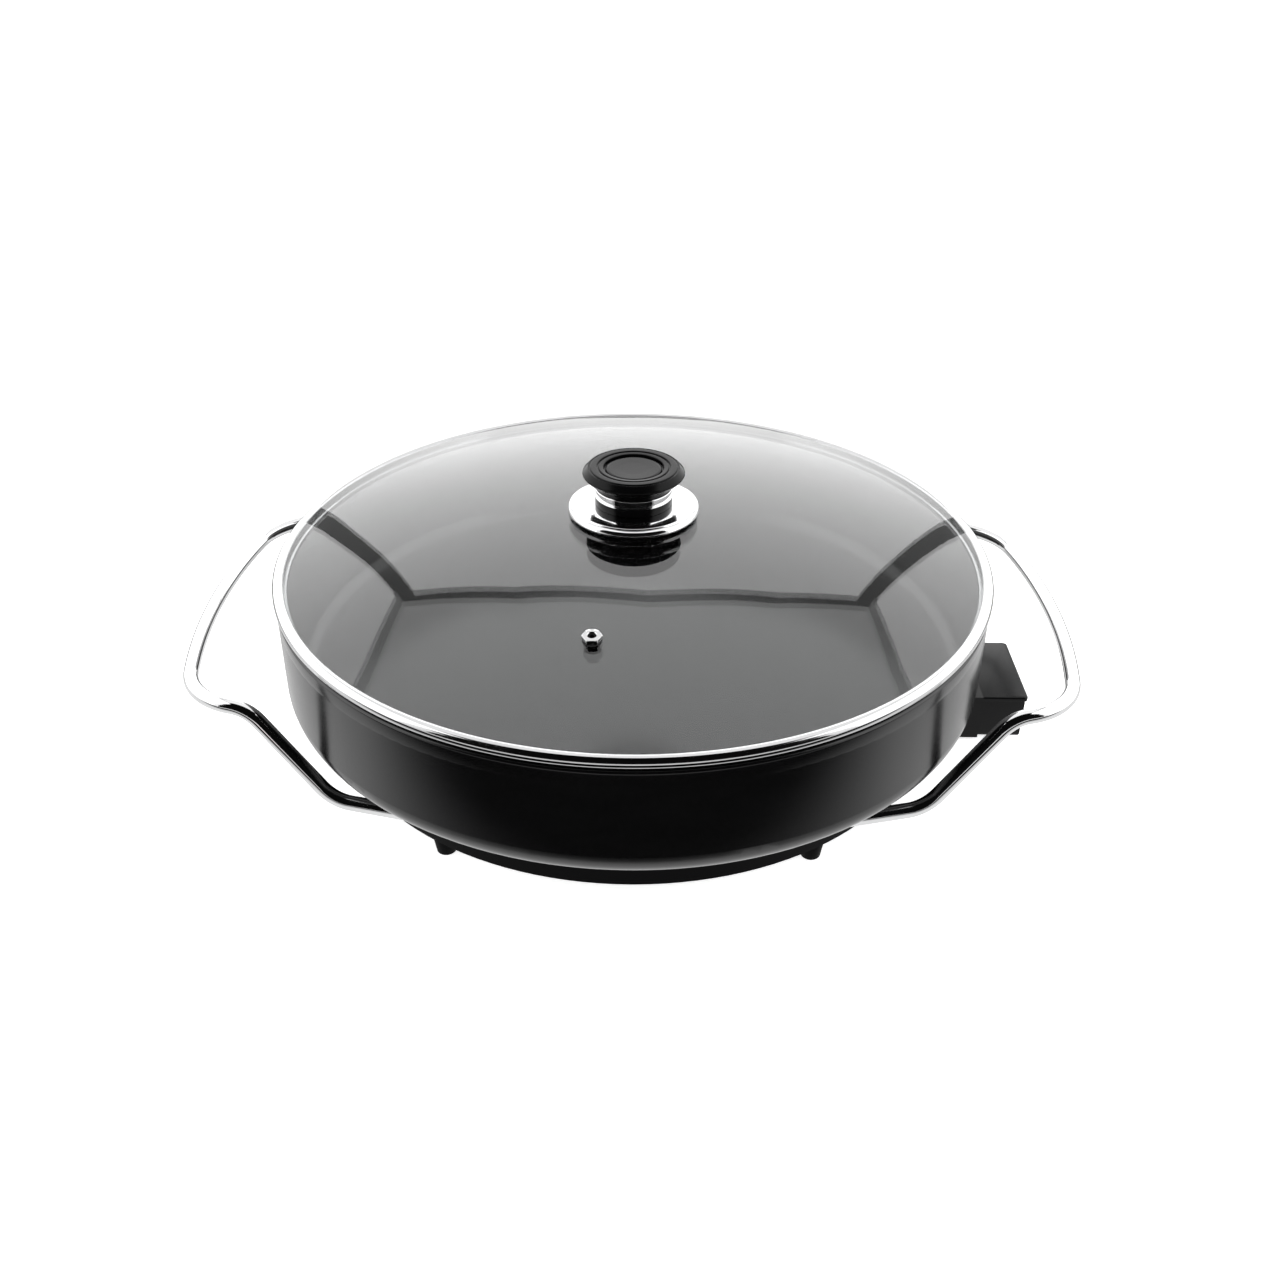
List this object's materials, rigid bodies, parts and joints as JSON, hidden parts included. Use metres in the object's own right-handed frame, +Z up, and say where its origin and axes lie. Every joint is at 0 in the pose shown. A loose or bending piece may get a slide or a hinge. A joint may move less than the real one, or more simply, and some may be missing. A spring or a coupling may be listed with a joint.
{
  "type": "electric party pan",
  "caption": "Round electric party pan with a domed glass lid, wire handles at the sides, a low base ring on feet and an inlet for a plug-in heat controller.",
  "frame": {"origin": "on the standing surface, under the pan's axis", "axes": "+Z up along the pan's axis, +X towards the electric inlet, -Y towards the lid's steam vent side (the front)"},
  "size_m": [0.5114, 0.414, 0.1652],
  "materials": {
    "nonstick": "matt black non-stick coating on cast aluminium",
    "heater_steel": "heat-tinted tube",
    "shield_metal": "plain rolled sheet",
    "fastener_steel": "zinc plated",
    "ring_plastic": "black heat-resistant moulding",
    "foot_plastic": "black moulding",
    "handle_chrome": "polished chrome on steel wire",
    "inlet_plastic": "black heat-resistant moulding",
    "block_plastic": "cream heat-resistant moulding",
    "pin_metal": "nickel plated",
    "link_brass": "plain brass strip",
    "lid_glass": "clear tempered glass",
    "rim_steel": "polished stainless band",
    "seal_rubber": "silicone",
    "knob_plastic": "black satin moulding",
    "knob_chrome": "mirror chrome"
  },
  "bodies": {
    "base": {"pan_body": "nonstick", "heating_element": "heater_steel", "heat_shield": "shield_metal", "shield_screws": "fastener_steel", "base_ring": "ring_plastic", "ring_screws": "fastener_steel", "foot_front_left": "foot_plastic", "foot_front_right": "foot_plastic", "foot_rear_left": "foot_plastic", "foot_rear_right": "foot_plastic", "foot_screws": "fastener_steel", "handle_left": "handle_chrome", "handle_right": "handle_chrome", "inlet_base": "inlet_plastic", "inlet_shroud": "inlet_plastic", "inlet_screws": "fastener_steel", "shroud_screws": "fastener_steel", "terminal_block": "block_plastic", "terminal_pin_left": "pin_metal", "terminal_pin_right": "pin_metal", "terminal_links": "link_brass", "probe_tube": "pin_metal", "earth_strip": "link_brass", "earth_screw": "fastener_steel"},
    "lid": {"lid_glass": "lid_glass", "lid_rim": "rim_steel", "glass_seal": "seal_rubber", "vent_nut": "knob_chrome", "vent_eyelet": "pin_metal", "vent_washer": "seal_rubber", "knob_flange": "knob_chrome", "knob_collar": "knob_chrome", "knob_body": "knob_plastic", "knob_cap": "knob_plastic", "knob_insert": "link_brass", "knob_screw": "fastener_steel", "knob_washer": "fastener_steel", "flange_gasket": "seal_rubber"}
  },
  "joints": [
    {"name": "lid_lift", "type": "slide", "parent": "base", "child": "lid", "axis": [0, 0, 1], "range_m": [0, 0.2]}
  ]
}
